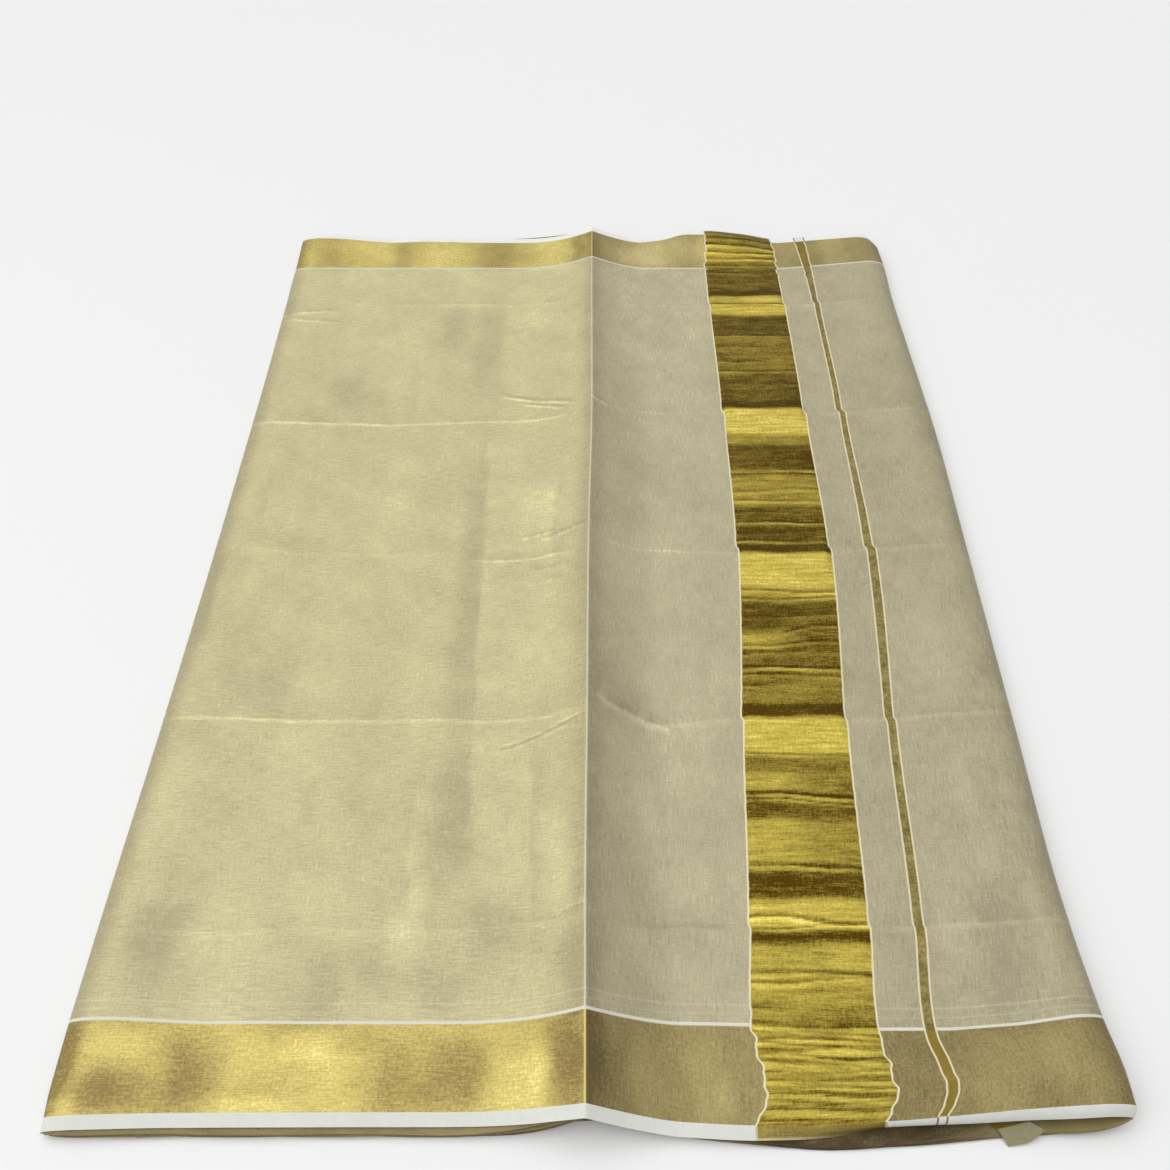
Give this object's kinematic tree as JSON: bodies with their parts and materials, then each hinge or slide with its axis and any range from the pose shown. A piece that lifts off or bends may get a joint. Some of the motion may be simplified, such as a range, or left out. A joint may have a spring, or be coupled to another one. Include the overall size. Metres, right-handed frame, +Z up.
{
  "type": "folded saree",
  "caption": "Tissue saree folded lengthways into a flat bundle, with gold borders, white selvedges and a puckered metallic pallu band and stripe.",
  "frame": {"origin": "centre of the bundle's bounding box, on the surface it lies on", "axes": "+X along the cloth's length towards the pallu's end, +Y across its width towards the far selvedge, +Z up"},
  "size_m": [0.8023, 1.2205, 0.0386],
  "materials": {
    "tissue": "cream cotton and gold tissue with a soft metallic sheen",
    "gold_border": "gold zari satin border",
    "zari_band": "dense metallic zari, puckered",
    "white_cotton": "matt white cotton",
    "hidden_plies": "gold tissue seen edge on, in shade"
  },
  "bodies": {
    "root": {"ground_left": "tissue", "ground_centre": "tissue", "ground_inner": "tissue", "ground_right": "tissue", "near_border_left": "gold_border", "near_border_centre": "gold_border", "near_border_inner": "gold_border", "near_border_right": "gold_border", "far_border_left": "gold_border", "far_border_centre": "gold_border", "far_border_inner": "gold_border", "far_border_right": "gold_border", "near_selvedge_left": "white_cotton", "near_selvedge_centre": "white_cotton", "near_selvedge_inner": "white_cotton", "near_selvedge_right": "white_cotton", "far_selvedge_left": "white_cotton", "far_selvedge_centre": "white_cotton", "far_selvedge_inner": "white_cotton", "far_selvedge_right": "white_cotton", "pallu_band": "zari_band", "pallu_stripe": "zari_band", "folded_layers": "hidden_plies", "returning_ply": "hidden_plies", "turned_selvedge": "white_cotton"}
  },
  "joints": []
}
